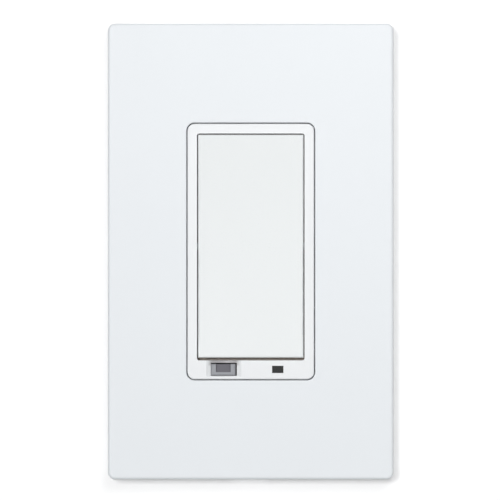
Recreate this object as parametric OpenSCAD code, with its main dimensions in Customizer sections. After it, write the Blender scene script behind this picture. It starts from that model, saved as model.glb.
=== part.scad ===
// Wall dimmer with a rocker paddle, a pull-out air-gap tab and a clip-on cover plate.
// Every piece is drawn lying on its back: x to the right, y up the wall and z out of the
// wall towards the user, with z = 0 on the wall. upright() then stands it on the wall.

/* [Cover plate] */
// Width of the clip-on cover plate
plate_w = 74.7; // [73:0.1:80]
// Height of the clip-on cover plate
plate_h = 119.1; // [118:0.1:126]
// How far the plate's front stands off the wall
plate_depth = 7.0; // [6.8:0.1:8]
// Thickness of the plate's front panel
plate_panel = 1.6; // [1.2:0.1:2]
// Thickness of the plate's side walls
plate_wall = 1.5; // [1.2:0.1:1.8]
// Radius of the plate's corners, seen from the front
plate_corner_r = 2.0; // [1.8:0.1:4]
// Rounding along the plate's front edge
plate_edge_r = 0.8; // [0.3:0.1:1]
// Lean of the plate's side walls from the wall to the front
plate_draft = 0.15; // [0:0.05:0.3]
// Width of the opening for the device's face
opening_w = 33.5; // [33.2:0.1:34]
// Height of the opening for the device's face
opening_h = 67.1; // [66.5:0.1:67.4]
// Width of the collar round the opening
collar_w = 1.2; // [0.8:0.1:1.6]
// Width of each claw that grips the sub-plate
claw_w = 8; // [5:0.5:12]

/* [Sub-plate] */
// Thickness of the sub-plate
sub_t = 1.8; // [1.4:0.1:2]
// Gap between the sub-plate's edge and the plate's side walls
sub_gap = 1.1; // [0.9:0.05:1.2]
// Height of the sub-plate's stiffening rim
sub_rim_h = 1.0; // [0.6:0.1:1.4]
// Spacing of the two screws that hold the sub-plate
plate_screw_spacing = 96.82; // [96.5:0.01:97.2]

/* [Strap] */
// Thickness of the aluminium strap
strap_t = 1.4; // [1.2:0.1:1.6]
// Width of the strap's end ears
strap_w = 44.4; // [43.6:0.1:46]
// Height of the whole strap
strap_h = 105.6; // [104:0.1:108]
// How far the strap's wide middle part reaches past the housing, above and below
sink_over = 0.5; // [0.2:0.1:0.6]
// How far that part reaches past the housing on each side
sink_side = 0.2; // [0:0.1:1]
// Width of the two necks
neck_w = 30; // [28:0.5:32]
// Height of each end ear
ear_h = 11.8; // [11:0.1:12.5]
// Spacing of the two screws that hold the device to its box
box_screw_spacing = 83.34; // [83:0.01:83.6]
// Width of the slot that each box screw sits in
slot_w = 4.4; // [4.2:0.1:4.6]
// Length of that slot
slot_l = 6.4; // [6:0.1:7]

/* [Face] */
// Gap between the bezel and the plate's opening, on each side
face_gap = 0.25; // [0.2:0.01:0.4]
// How far the bezel's front stands off the wall
bezel_z = 6.8; // [6.4:0.1:7.2]
// Radius of the bezel's corners
bezel_corner_r = 1.9; // [1.5:0.1:2.4]
// Rounding along the bezel's front edge
bezel_edge_r = 0.35; // [0.2:0.05:0.5]
// Width of the bezel's two side rails
rail_w = 2.5; // [2.2:0.1:2.6]
// Width of the bezel's upper strip
top_strip = 2.55; // [2.4:0.05:2.8]
// Width of the bezel's lower strip, which holds the tab and the light
bottom_strip = 4.95; // [4.85:0.05:5.1]
// Thickness of the floor under the paddle
well_floor = 1.0; // [0.8:0.1:1.1]
// Distance of the tab and of the light from the middle
side_offset = 7.03; // [6.9:0.01:7.2]
// Height of the tab and of the light below the middle
low_offset = 30.7; // [30.6:0.05:30.75]

/* [Paddle] */
// Gap on each side of the paddle
paddle_side_gap = 0.28; // [0.22:0.01:0.35]
// Gap above the paddle
paddle_top_gap = 0.35; // [0.3:0.05:0.5]
// Gap below the paddle
paddle_bottom_gap = 0.75; // [0.5:0.05:0.8]
// Height of the paddle's ends above the bezel
paddle_proud = 1.2; // [1:0.1:1.5]
// Depth of the hollow curve along the paddle's face
paddle_dip = 0.6; // [0.4:0.1:0.9]
// Thickness of the paddle's shell
paddle_wall = 1.5; // [1.2:0.1:1.7]
// Rounding of the paddle's long edges
paddle_edge_r = 0.4; // [0.2:0.05:0.6]
// Height of the pivot above the strap
pivot_h = 3.0; // [2.8:0.05:3.1]
// Radius of the pivot pins
pivot_r = 1.0; // [0.8:0.05:1.05]
// Running clearance round the pivot pins
pivot_play = 0.05; // [0.03:0.01:0.08]
// Length of each pivot pin beyond the paddle's side
pivot_l = 1.3; // [1:0.1:1.5]
// How far the paddle swings each way, in degrees
paddle_swing = 1.6; // [1:0.1:1.8]
// Distance of each pushed switch from the pivot
switch_arm = 18; // [16:0.5:19]

/* [Air-gap tab] */
// Width of the tab's pocket in the bezel
pocket_w = 6.8; // [6.6:0.05:7]
// Height of the tab's pocket in the bezel
pocket_h = 3.4; // [3.3:0.05:3.5]
// Width of the tab
tab_w = 6.3; // [6:0.05:6.4]
// Height of the tab
tab_h = 2.95; // [2.8:0.05:3]
// How far the tab pulls out
tab_travel = 3; // [2:0.1:3.1]
// Width of the nail notch in the tab
notch_w = 3.8; // [3:0.1:4.2]
// Width of the hollow round the tab
scoop_w = 9.1; // [8.6:0.1:9.4]
// Depth of that hollow
scoop_depth = 1.3; // [0.6:0.05:1.5]

/* [Indicator] */
// Width of the light's window
window_w = 2.85; // [2.4:0.05:3.2]
// Height of the light's window
window_h = 1.8; // [1.5:0.05:2]

/* [Housing] */
// Width of the rear housing
case_w = 44; // [43.2:0.1:44.4]
// Height of the rear housing
case_h = 68.2; // [68.1:0.1:68.4]
// Depth of the rear housing behind the wall, without its cover
case_depth = 28; // [27.6:0.1:30]
// Thickness of the housing's walls
case_wall = 1.6; // [1.3:0.1:1.8]
// Radius of the housing's upright corners
case_corner_r = 2.5; // [2.2:0.1:3]
// Thickness of the back cover
cover_t = 2.2; // [2:0.1:2.6]
// Distance of the case screws from the housing's inner side walls
case_screw_side = 2.2; // [2:0.05:2.4]
// Distance of the case screws from the housing's inner end walls
case_screw_end = 3.1; // [2.9:0.05:3.3]
// Radius of the case screws
case_screw_r = 1.42; // [1.3:0.01:1.5]

/* [Terminals] */
// Distance of each terminal from the middle
terminal_y = 14; // [13:0.1:15]
// Width of the recess for each terminal
recess_w = 11; // [10.6:0.1:11.6]
// Length of that recess
recess_l = 11; // [10.4:0.1:11]
// Depth of that recess
recess_d = 7; // [7:0.1:7.2]
// Thickness of the brass terminal plates
brass_t = 1.0; // [0.8:0.05:1.1]
// Opening between terminal plate and clamp, for the wire
wire_gap = 2.4; // [2.3:0.05:2.5]
// Thickness of the clamp plates
clamp_t = 1.2; // [1:0.05:1.3]
// Radius of the terminal screws
terminal_screw_r = 2.05; // [1.9:0.01:2.1]
// Radius of the holes that the wires go in by
wire_hole_r = 1.2; // [1.1:0.01:1.25]

/* [Circuit boards] */
// Thickness of the control board
control_t = 1.2; // [1:0.1:1.6]
// Distance of the control board behind the wall
control_z = 5.0; // [4.8:0.1:5.2]
// Thickness of the power board
power_t = 1.6; // [1.2:0.1:1.6]
// Distance of the power board behind the wall
power_z = 13; // [12.8:0.1:13.2]
// Clearance between the boards and the housing's walls
board_gap = 0.6; // [0.4:0.1:0.8]

/* [Screws] */
// Radius of the box and plate screws
screw_r = 1.75; // [1.7:0.01:1.78]
// Radius of the box screws' heads
box_head_r = 3.1; // [2.8:0.05:3.2]
// Length of the box screws
box_screw_l = 25.4; // [19:0.1:32]
// Radius of the plate screws' heads
plate_head_r = 3.0; // [2.7:0.05:3.1]

/* [Hidden] */

$fn = 48;
cut = 1;            // how far a cutter reaches past the face it opens
bite = 0.2;         // how far a fused feature sinks into what carries it
air = 0.1;          // clearance between pieces that only stand near each other
seat = 0.05;        // clearance round a screw or pin in its hole

sub_z = strap_t;
sub_top = sub_z + sub_t;
panel_z = plate_depth - plate_panel;
cavity_w = plate_w - 2 * plate_wall;
cavity_h = plate_h - 2 * plate_wall;
sub_w = cavity_w - 2 * sub_gap;
sub_h = cavity_h - 2 * sub_gap;
claw_reach = sub_gap + 0.35;
claw_top = sub_z - air;
claw_pitch = sub_h / 2 - 19;
rib_t = 1.0;
sub_opening_w = opening_w + 1.2;
sub_opening_h = opening_h + 1.2;

bezel_w = opening_w - 2 * face_gap;
bezel_h = opening_h - 2 * face_gap;
well_w = bezel_w - 2 * rail_w;
well_h = bezel_h - top_strip - bottom_strip;
well_y = (bottom_strip - top_strip) / 2;
well_corner_r = 0.6;
floor_z = strap_t + well_floor;

paddle_w = well_w - 2 * paddle_side_gap;
paddle_h = well_h - paddle_top_gap - paddle_bottom_gap;
paddle_y = well_y + (paddle_bottom_gap - paddle_top_gap) / 2;
paddle_half = paddle_h / 2;
paddle_end_z = bezel_z + paddle_proud;
paddle_mid_z = paddle_end_z - paddle_dip;
paddle_curve_r = (pow(paddle_half, 2) + pow(paddle_dip, 2)) / (2 * paddle_dip);
pivot_z = strap_t + pivot_h;
skirt_z = floor_z + paddle_half * sin(paddle_swing) + 0.2;
push_r = 1.4;
push_gap = 0.08;
rib_top = paddle_end_z - paddle_wall + 0.05;

plunger_top = floor_z + switch_arm * sin(paddle_swing) + 0.1;
plunger_r = 1.75;
plunger_head_r = 2.2;
plunger_head_t = 1.0;
plunger_bottom = -2.6;
switch_w = 6.2;
switch_top = -0.8;
switch_floor = 0.4;
spring_wire = 0.2;
spring_turns = 3.5;

tab_x = -side_offset;
light_x = side_offset;
low_y = -low_offset;
tab_low_gap = 0.12;
tab_dx = tab_low_gap - (pocket_w - tab_w) / 2;
tab_dy = tab_low_gap - (pocket_h - tab_h) / 2;
tab_front_z = bezel_z - 0.45;
tab_flange_t = 1.0;
tab_flange_z = -tab_travel - air;
tab_back_z = tab_flange_z - tab_flange_t;
tab_flange_w = tab_w + 2.4;
tab_stem_w = 2.6;
tab_stem_h = 2.0;
bridge_t = 0.6;
bridge_z = -control_z - control_t - tab_travel - bridge_t - 0.2;
bridge_w = 9.0;
bridge_h = 3.0;
contact_gap = 0.05;
contact_t = 0.8;
scoop_r = (pow(scoop_w / 2, 2) + pow(scoop_depth, 2)) / (2 * scoop_depth);

sink_w = case_w + 2 * sink_side;
sink_h = case_h + 2 * sink_over;
case_screw_x = case_w / 2 - case_wall - case_screw_side;
case_screw_y = case_h / 2 - case_wall - case_screw_end;
box_y = box_screw_spacing / 2;
plate_screw_y = plate_screw_spacing / 2;
plate_screw_l = 8;
ground_screw_l = 6;
retainer_flange_t = 0.5;
hook_y = bezel_h / 2 - 13.3;
hook_l = 4.8;
hook_t = 1.3;
hook_x = bezel_w / 2 - 0.4 - hook_t;
hook_barb = 0.5;
hook_drop = 1.1;

flange_in = 0.6;
flange_out = flange_in + strap_t;
flange_l = 9.5;
flange_w = 6.0;
flange_y = -(sink_h / 2 + (strap_h / 2 - ear_h)) / 2;
ground_z = -5.2;
ground_head_r = 3.0;

recess_z = -case_depth + recess_l;
recess_x = case_w / 2 - recess_d;
pocket_wall = 1.2;
terminal_z = recess_z - 4.8;
clamp_x = recess_x + brass_t + wire_gap;
head_x = clamp_x + clamp_t;
wire_x = recess_x + brass_t + wire_gap / 2;
wire_dy = terminal_screw_r + wire_hole_r + seat;

insulator_t = 0.4;
board_w = case_w - 2 * case_wall - 2 * board_gap;
board_h = case_h - 2 * case_wall - 2 * board_gap;
pillar_r = 2.6;
control_front = -control_z;
control_back = control_front - control_t;
power_front = -power_z;
power_back = power_front - power_t;
triac_w = 10;
triac_x = -(case_w / 2 - case_wall - triac_w / 2 - 0.4);
triac_hole_y = 8.2;
triac_tab_t = 1.3;
pad_t = 0.4;
chip_x = 4.5;
chip_y = 2.5;
radio_w = 11;
radio_h = 13;
radio_x = board_w / 2 - radio_w / 2 - 0.7;
radio_y = board_h / 2 - radio_h / 2 - 5.8;
antenna_x = board_w / 2 - 5.6;
antenna_y = -14;
header_x = board_w / 2 - 2.6;
header_y = 4;
header_l = 20;
header_pitch = 2.54;
film_w = 8.5;
film_l = 18;
film_x = -(recess_x - pocket_wall - film_w / 2 - 1.0);
film_y = 8.6;
can_x = 5.4;
can_y = 4.2;
can_r = 4;
varistor_r = 4.6;
varistor_x = recess_x - pocket_wall - varistor_r - 0.9;
varistor_y = 15.4;
fuse_x = 6.4;
fuse_y = board_h / 2 - 4.2;
bridge_x = 6;
bridge_y = -8;
choke_y = -(board_h / 2 - 14.8);
choke_r = recess_x - pocket_wall - 3.8;
choke_hole_r = choke_r / 2;
choke_h = 7.5;
choke_z = power_back - 2.2 - choke_h / 2;
choke_wire_r = 0.45;
winding_half_w = (choke_r - choke_hole_r) / 2 + choke_wire_r + air;
winding_half_h = choke_h / 2 + choke_wire_r + air;
winding_bevel = 0.7;
winding_arc = 310;
winding_hole_r = choke_hole_r - choke_wire_r - air;
choke_turns = floor(winding_hole_r * winding_arc * PI / 180 / (2 * choke_wire_r + air));

// Stands a piece that was drawn on its back upright against the wall.
module upright() rotate([90, 0, 0]) children();

// A flat rectangle with round corners.
module round_rect(w, h, r) {
    square([w - 2 * r, h], center = true);
    square([w, h - 2 * r], center = true);
    for (sx = [-1, 1], sy = [-1, 1])
        translate([sx * (w / 2 - r), sy * (h / 2 - r)]) circle(r);
}

// A slab with round corners, standing on z.
module slab(w, h, r, z, t) translate([0, 0, z]) linear_extrude(t) round_rect(w, h, r);

// A box centred on x and y, from z upwards.
module block(w, h, z, t) translate([-w / 2, -h / 2, z]) cube([w, h, t]);

// Carries a profile round a rectangle with corner radius r. The profile's x is measured
// outwards from the corners' centres, so the outline itself is at x = r; its y is height.
module swept_ring(w, h, r) {
    for (k = [0 : 3]) {
        across = k % 2 == 0 ? w : h;
        along = k % 2 == 0 ? h : w;
        rotate([0, 0, 90 * k]) translate([across / 2 - r, along / 2 - r, 0]) {
            rotate_extrude(angle = 90) children();
            rotate([90, 0, 0]) linear_extrude(along - 2 * r) children();
        }
    }
}

// The upper outer quarter of a profile with its corner rounded: a wall from x0 to x1 and
// from z0 to z1, with its outer side leaning in by lean.
module rounded_wall(x0, x1, z0, z1, edge, lean = 0) {
    polygon([[x0, z0], [x1, z0], [x1 - lean, z1 - edge], [x1 - lean - edge, z1], [x0, z1]]);
    translate([x1 - lean - edge, z1 - edge]) circle(edge);
}

// A screw along +z with its head's underside at z = 0 and its shank below.
module pan_screw(head_r, head_h, r, l, neck_r = 0, neck_l = 0, slot = 0.9) {
    difference() {
        union() {
            cylinder(h = head_h * 0.45, r = head_r);
            translate([0, 0, head_h * 0.45])
                cylinder(h = head_h * 0.55, r1 = head_r, r2 = head_r * 0.72);
        }
        cross_drive(head_r, head_h, slot);
    }
    if (neck_l > 0) translate([0, 0, -neck_l]) cylinder(h = neck_l, r = neck_r);
    translate([0, 0, -l + r * 0.5]) cylinder(h = l - neck_l - r * 0.5, r = r);
    translate([0, 0, -l]) cylinder(h = r * 0.5, r1 = r * 0.6, r2 = r);
}

// A countersunk screw along +z with the top of its head at z = 0.
module flat_screw(head_r, r, l) {
    cone_h = head_r - r;
    difference() {
        union() {
            translate([0, 0, -0.25]) cylinder(h = 0.25, r = head_r);
            translate([0, 0, -0.25 - cone_h]) cylinder(h = cone_h, r1 = r, r2 = head_r);
        }
        translate([0, 0, -0.25 - cone_h]) cross_drive(head_r, cone_h + 0.25, 0.7);
    }
    translate([0, 0, -l + r * 0.5]) cylinder(h = l - cone_h - 0.25 - r * 0.5, r = r);
    translate([0, 0, -l]) cylinder(h = r * 0.5, r1 = r * 0.6, r2 = r);
}

// The cross and slot that a screwdriver fits, cut into a head of that size.
module cross_drive(head_r, head_h, slot) {
    block(2 * head_r + cut, slot, head_h * 0.55, head_h);
    block(slot, head_r * 1.1, head_h * 0.35, head_h);
    block(head_r * 1.1, slot, head_h * 0.35, head_h);
}

// A tube that follows a list of points, as one closed polyhedron.
function ring_of(p, t, r, n) =
    let (
        side = abs(t.z) < 0.9 ? cross(t, [0, 0, 1]) : cross(t, [1, 0, 0]),
        u = side / norm(side),
        v = cross(t, u)
    )
    [for (i = [0 : n - 1]) p + r * (cos(360 * i / n) * u + sin(360 * i / n) * v)];
function heading(path, i) =
    let (
        a = path[max(i - 1, 0)],
        b = path[min(i + 1, len(path) - 1)]
    )
    (b - a) / norm(b - a);
module tube(path, r, n = 6) {
    rings = len(path);
    points = [for (i = [0 : rings - 1]) each ring_of(path[i], heading(path, i), r, n)];
    walls = [
        for (i = [0 : rings - 2], k = [0 : n - 1])
            [i * n + k, i * n + (k + 1) % n, (i + 1) * n + (k + 1) % n, (i + 1) * n + k]
    ];
    first = [for (k = [0 : n - 1]) n - 1 - k];
    last = [for (k = [0 : n - 1]) (rings - 1) * n + k];
    polyhedron(points, concat([first], walls, [last]));
}

// Clip-on cover plate: a shallow tray with a collar round the opening, claws on its long
// sides and ribs that bear on the sub-plate.
module wall_plate() color("white") upright() {
    r = plate_corner_r;
    difference() {
        union() {
            swept_ring(plate_w, plate_h, r) {
                rounded_wall(r - plate_wall, r, 0, plate_depth, plate_edge_r, plate_draft);
                translate([0, panel_z]) square([r - plate_wall, plate_panel]);
            }
            difference() {
                block(plate_w - 2 * r, plate_h - 2 * r, panel_z, plate_panel);
                slab(
                    opening_w + 2 * collar_w, opening_h + 2 * collar_w,
                    bezel_corner_r + face_gap + collar_w, panel_z - cut, plate_panel + 2 * cut
                );
            }
            opening_collar();
            plate_ribs();
            plate_claws();
        }
        translate([0, -plate_h / 2, -cut]) block(9, 2 * plate_wall + cut, 0, 1.3 + cut);
    }
}

// The collar round the opening, rounded along its inner front edge.
module opening_collar() {
    r = bezel_corner_r + face_gap;
    edge = 0.25;
    swept_ring(opening_w, opening_h, r) {
        translate([r + edge, 0]) square_between(0, collar_w - edge, sub_top + 0.2, plate_depth);
        translate([r, 0]) square_between(0, edge, sub_top + 0.2, plate_depth - edge);
        translate([r + edge, plate_depth - edge]) circle(edge);
    }
}

// A rectangle between two x and two y values.
module square_between(x0, x1, y0, y1) translate([x0, y0]) square([x1 - x0, y1 - y0]);

// Ribs under the front panel that bear on the sub-plate.
module plate_ribs() {
    z = sub_top + 0.15;
    x = (opening_w / 2 + cavity_w / 2) / 2;
    y = sub_opening_h / 2 + 4;
    for (s = [-1, 1]) {
        translate([s * x, 0, 0]) block(rib_t, 2 * y, z, panel_z - z + bite);
        translate([0, s * y, 0]) block(2 * x + rib_t, rib_t, panel_z - 1.0, 1.0 + bite);
    }
}

// Claws on the long side walls that hook behind the sub-plate's edges.
module plate_claws() {
    x = cavity_w / 2;
    for (s = [0, 1], y = [-claw_pitch, 0, claw_pitch])
        rotate([0, 0, 180 * s]) translate([0, y + claw_w / 2, 0]) rotate([90, 0, 0])
            linear_extrude(claw_w)
                polygon([
                    [x + bite, 0.2], [x - claw_reach, claw_top - 0.35],
                    [x - claw_reach, claw_top], [x + bite, claw_top]
                ]);
}

// Sub-plate that the cover clips on: screwed to the strap and cut away round the heads of
// the box screws.
module sub_plate() color("ivory") upright() {
    r = plate_corner_r;
    difference() {
        union() {
            slab(sub_w, sub_h, r, sub_z, sub_t);
            difference() {
                slab(sub_w, sub_h, r, sub_top - bite, sub_rim_h + bite);
                slab(sub_w - 2.2, sub_h - 2.2, r - 1.1, sub_top - cut, sub_rim_h + 2 * cut);
            }
        }
        slab(sub_opening_w, sub_opening_h, 2.6, sub_z - cut, sub_t + 2 * cut);
        for (s = [0, 1]) rotate([0, 0, 180 * s]) {
            translate([0, box_y, sub_z - cut]) cylinder(h = sub_t + 2 * cut, r = box_head_r + 0.2);
            translate([0, (box_y + opening_h / 2) / 2, 0])
                block(2 * box_head_r + 0.4, box_y - opening_h / 2, sub_z - cut, sub_t + 2 * cut);
            translate([0, plate_screw_y, sub_z - cut]) cylinder(h = sub_t + 2 * cut, r = screw_r + 0.1);
            translate([0, plate_screw_y, 0]) countersink();
            for (t = [-1, 1]) translate([t * (sub_w / 2 - 10.75), box_y, 0])
                block(9, 3.2, sub_z - cut, sub_t + 2 * cut);
        }
        translate([0, -sub_h / 2, 0]) block(12, 2.4, sub_z - cut, sub_t + sub_rim_h + 2 * cut);
    }
}

// The cone that a plate screw's head sits in, with a little air round it.
module countersink() {
    cone_h = plate_head_r - screw_r;
    translate([0, 0, sub_top - 0.25 - cone_h])
        cylinder(h = cone_h, r1 = screw_r + 0.1, r2 = plate_head_r + 0.1);
    translate([0, 0, sub_top - 0.25]) cylinder(h = 0.25 + cut, r = plate_head_r + 0.1);
}

// One of the two countersunk screws that hold the sub-plate to the strap.
module plate_screw(side) color("white") upright()
    translate([0, side * plate_screw_y, sub_top]) flat_screw(plate_head_r, screw_r, plate_screw_l);

// Aluminium strap: heat sink in the middle, necks, and ears with break-off scores.
module strap() color("silver") upright() {
    difference() {
        union() {
            linear_extrude(strap_t) difference() {
                strap_outline();
                strap_holes();
            }
            ground_flange();
        }
        for (sx = [-1, 1], sy = [-1, 1], z = [-cut, strap_t - 0.35])
            translate([sx * neck_w / 2, sy * (strap_h - ear_h) / 2, 0])
                block(0.7, ear_h + 2 * cut, z, 0.35 + cut);
    }
}

// The strap's outline before its holes are punched.
module strap_outline() {
    round_rect(sink_w, sink_h, 1.5);
    square([neck_w, strap_h - 2], center = true);
    for (s = [-1, 1])
        translate([0, s * (strap_h - ear_h) / 2]) round_rect(strap_w, ear_h, 3.4);
}

// Everything that is punched through the strap.
module strap_holes() {
    for (s = [-1, 1]) {
        translate([0, s * box_y]) slot_hole(slot_l, slot_w);
        translate([0, s * plate_screw_y]) circle(screw_r + seat);
        translate([0, paddle_y + s * switch_arm]) circle(plunger_head_r + 0.3);
        for (t = [-1, 1]) {
            translate([s * case_screw_x, t * case_screw_y]) circle(case_screw_r + seat);
            translate([s * (hook_x + hook_t / 2 - 0.2), t * hook_y])
                square([hook_t + 0.6, hook_l + 0.6], center = true);
            translate([s * neck_w / 2, t * (strap_h / 2 - ear_h - 0.9)]) circle(0.9);
        }
    }
    translate([tab_x, low_y]) square([pocket_w, pocket_h], center = true);
    translate([light_x, low_y]) square([4.4, 3.4], center = true);
    translate([triac_x, triac_hole_y]) circle(1.5 + seat);
    translate([-neck_w / 2 - cut, -(strap_h / 2 - ear_h)])
        square([cut + flange_out, strap_h / 2 - ear_h - sink_h / 2]);
}

// A slot with round ends, long side across.
module slot_hole(l, w) {
    square([l - w, w], center = true);
    for (s = [-1, 1]) translate([s * (l - w) / 2, 0]) circle(w / 2);
}

// The tongue for the ground screw, bent back from the lower neck.
module ground_flange() {
    x = -neck_w / 2 + flange_out;
    translate([x, flange_y, -flange_in]) {
        translate([0, flange_w / 2, 0]) rotate([90, 0, 0]) linear_extrude(flange_w) intersection() {
            difference() {
                circle(flange_out);
                circle(flange_in);
            }
            translate([-flange_out, 0]) square(flange_out);
        }
        difference() {
            translate([-flange_out, -flange_w / 2, flange_in - flange_l])
                cube([strap_t, flange_w, flange_l - flange_in]);
            translate([-flange_out - cut, 0, ground_z + flange_in]) rotate([0, 90, 0])
                cylinder(h = strap_t + 2 * cut, r = screw_r + seat);
        }
        translate([0, -flange_w / 2, flange_in]) cube([bite, flange_w, strap_t]);
    }
}

// Green ground screw in the bent tongue, head outwards.
module ground_screw() color("green") upright()
    translate([-neck_w / 2 - 0.02, flange_y, ground_z]) rotate([0, -90, 0])
        pan_screw(ground_head_r, 2.2, screw_r, ground_screw_l);

// Box screw, held loosely in its slot by a nylon retainer, with a neck inside the strap.
module mounting_screw(side) color("silver") upright()
    translate([0, side * box_y, strap_t + retainer_flange_t])
        pan_screw(box_head_r, 2.1, screw_r, box_screw_l, screw_r - 0.25, strap_t + retainer_flange_t - 0.05);

// Nylon retainer that sits in the strap's slot round a box screw's neck.
module screw_retainer(side) color("white") upright() translate([0, side * box_y, 0]) difference() {
    union() {
        linear_extrude(strap_t) slot_hole(slot_l - 0.2, slot_w - 0.2);
        translate([0, 0, strap_t]) linear_extrude(retainer_flange_t) intersection() {
            slot_hole(slot_l + 1.2, slot_w + 1.2);
            circle(box_head_r);
        }
    }
    translate([0, 0, -cut]) cylinder(h = strap_t + retainer_flange_t + 2 * cut, r = screw_r - 0.25 + seat);
    translate([0, 0, -cut]) cylinder(h = cut + 0.12, r = screw_r + seat);
}

// White frame round the paddle: well with a floor, pivot bores, pocket for the tab, window
// for the light and four hooks that click through the strap.
module bezel() color("white") upright() {
    r = bezel_corner_r;
    difference() {
        union() {
            swept_ring(bezel_w, bezel_h, r) rounded_wall(0, r, strap_t, bezel_z, bezel_edge_r);
            block(bezel_w - 2 * r, bezel_h - 2 * r, strap_t, bezel_z - strap_t);
            for (s = [0, 1], y = [-hook_y, hook_y]) rotate([0, 0, 180 * s]) translate([0, y, 0]) snap_hook();
        }
        translate([0, well_y, 0]) slab(well_w, well_h, well_corner_r, floor_z, bezel_z);
        for (s = [-1, 1]) translate([0, paddle_y + s * switch_arm, strap_t - cut])
            cylinder(h = well_floor + 2 * cut, r = plunger_head_r + 0.3);
        translate([-bezel_w / 2 + rail_w - pivot_l, paddle_y, pivot_z]) rotate([0, 90, 0])
            cylinder(h = well_w + 2 * pivot_l, r = pivot_r + pivot_play);
        finger_scoop();
        translate([tab_x, low_y, 0]) block(pocket_w, pocket_h, strap_t - cut, bezel_z);
        translate([light_x, low_y, 0]) {
            block(window_w + 0.1, window_h + 0.1, strap_t - cut, bezel_z);
            block(4.4, 3.4, strap_t - cut, bezel_z - strap_t - 1.5 + cut);
        }
    }
}

// A hook under the bezel's right-hand rail: a leg through the strap and a barb behind it.
module snap_hook() translate([0, hook_l / 2, 0]) rotate([90, 0, 0]) linear_extrude(hook_l)
    polygon([
        [hook_x, strap_t + bite], [hook_x, -hook_drop], [hook_x + hook_t, -hook_drop],
        [hook_x + hook_t + hook_barb, -air - 0.2], [hook_x + hook_t + hook_barb, -air],
        [hook_x + hook_t, -air], [hook_x + hook_t, strap_t + bite]
    ]);

// The hollow that lets a fingernail reach the tab: a shallow trough that runs out upwards
// into the well and slopes up at its lower end.
module finger_scoop() intersection() {
    translate([tab_x, -bezel_h / 2, bezel_z + scoop_r - scoop_depth]) rotate([-90, 0, 0])
        cylinder(h = bottom_strip + cut, r = scoop_r, $fn = 96);
    translate([tab_x, -bezel_h / 2 + 0.75, bezel_z]) rotate([-40, 0, 0])
        block_above(scoop_w + cut, bottom_strip + 3, scoop_depth * 2);
}

// A box centred on x that starts at y = 0 and reaches t to either side of z = 0.
module block_above(w, l, t) translate([-w / 2, 0, -t]) cube([w, l, 4 * t]);

// Rocker paddle: a hollow shell with a gently dished face, skirts, ribs, two pivot pins and
// a peg over each switch.
module paddle() color("white") upright() {
    translate([0, paddle_y, 0]) {
        difference() {
            intersection() {
                paddle_arc() paddle_section();
                block(paddle_w + cut, paddle_h, skirt_z, paddle_end_z);
            }
            for (s = [-1, 1]) translate([0, s * paddle_half, 0]) end_chamfer(s);
        }
        paddle_ends();
        paddle_ribs();
        for (s = [-1, 1]) {
            translate([s * (paddle_w / 2 - paddle_wall), 0, pivot_z]) rotate([0, s * 90, 0]) {
                cylinder(h = paddle_wall + pivot_l - air, r = pivot_r);
                cylinder(h = paddle_wall, r = pivot_r + 0.9);
            }
            translate([0, s * switch_arm, plunger_top + push_gap])
                cylinder(h = rib_top - plunger_top - push_gap, r = push_r);
        }
    }
}

// Turns the paddle's cross-section along the arc of its face. The section's x is depth
// below the face's radius and its y runs across the paddle.
module paddle_arc() {
    reach = asin(paddle_half / paddle_curve_r) + 0.3;
    translate([0, 0, paddle_mid_z + paddle_curve_r]) rotate([0, 90, 0])
        rotate([0, 0, -reach]) rotate_extrude(angle = 2 * reach, $fn = 360)
            translate([paddle_curve_r, 0]) children();
}

// The paddle's cross-section: top wall and two skirts, with rounded long edges.
module paddle_section() {
    depth = paddle_end_z - skirt_z + 0.3;
    half = paddle_w / 2;
    difference() {
        union() {
            square_between(paddle_edge_r, depth, -half, half);
            square_between(0, paddle_edge_r, -half + paddle_edge_r, half - paddle_edge_r);
            for (s = [-1, 1]) translate([paddle_edge_r, s * (half - paddle_edge_r)]) circle(paddle_edge_r);
        }
        square_between(paddle_wall, depth + cut, -half + paddle_wall, half - paddle_wall);
    }
}

// Takes the sharp corner off an end of the face.
module end_chamfer(s) translate([0, 0, paddle_end_z]) rotate([45, 0, 0])
    block(paddle_w + cut, 0.36, -0.18, 0.36);

// The two end walls that close the shell.
module paddle_ends() {
    for (s = [-1, 1]) translate([0, s * (paddle_half - paddle_wall / 2), 0])
        block(paddle_w - 2 * paddle_wall + bite, paddle_wall, skirt_z, rib_top - skirt_z);
}

// Ribs inside the shell: two along it and four across.
module paddle_ribs() {
    for (x = [-4.6, 4.6]) translate([x, 0, 0])
        block(0.9, paddle_h - 2 * paddle_wall + bite, skirt_z + 0.6, rib_top - skirt_z - 0.6);
    for (s = [-1, 1], y = [switch_arm / 2, paddle_half - 7]) translate([0, s * y, 0])
        block(paddle_w - 2 * paddle_wall + bite, 0.9, skirt_z + 1.0, rib_top - skirt_z - 1.0);
}

// Air-gap tab: a clear grey block with a nail notch, a stop flange behind the strap and a
// stem that carries the bridging contact.
module airgap_tab() color("gray") upright() translate([tab_x + tab_dx, low_y + tab_dy, 0]) {
    difference() {
        union() {
            block(tab_w, tab_h, tab_back_z, tab_front_z - 0.25 - tab_back_z);
            block(tab_w - 0.5, tab_h - 0.5, tab_front_z - 0.3, 0.3);
            block(tab_flange_w, tab_h, tab_back_z, tab_flange_t);
        }
        translate([0, tab_h / 2, tab_front_z]) rotate([-14, 0, 0])
            translate([-notch_w / 2, -2.05, -1.0]) cube([notch_w, 2.05 + cut, 1.0 + cut]);
    }
    difference() {
        block(tab_stem_w, tab_stem_h, bridge_z - 1.4, tab_flange_z - bridge_z + 1.4);
        block(tab_stem_w + cut, tab_stem_h - 0.9, bridge_z - seat, bridge_t + 2 * seat);
    }
}

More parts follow.
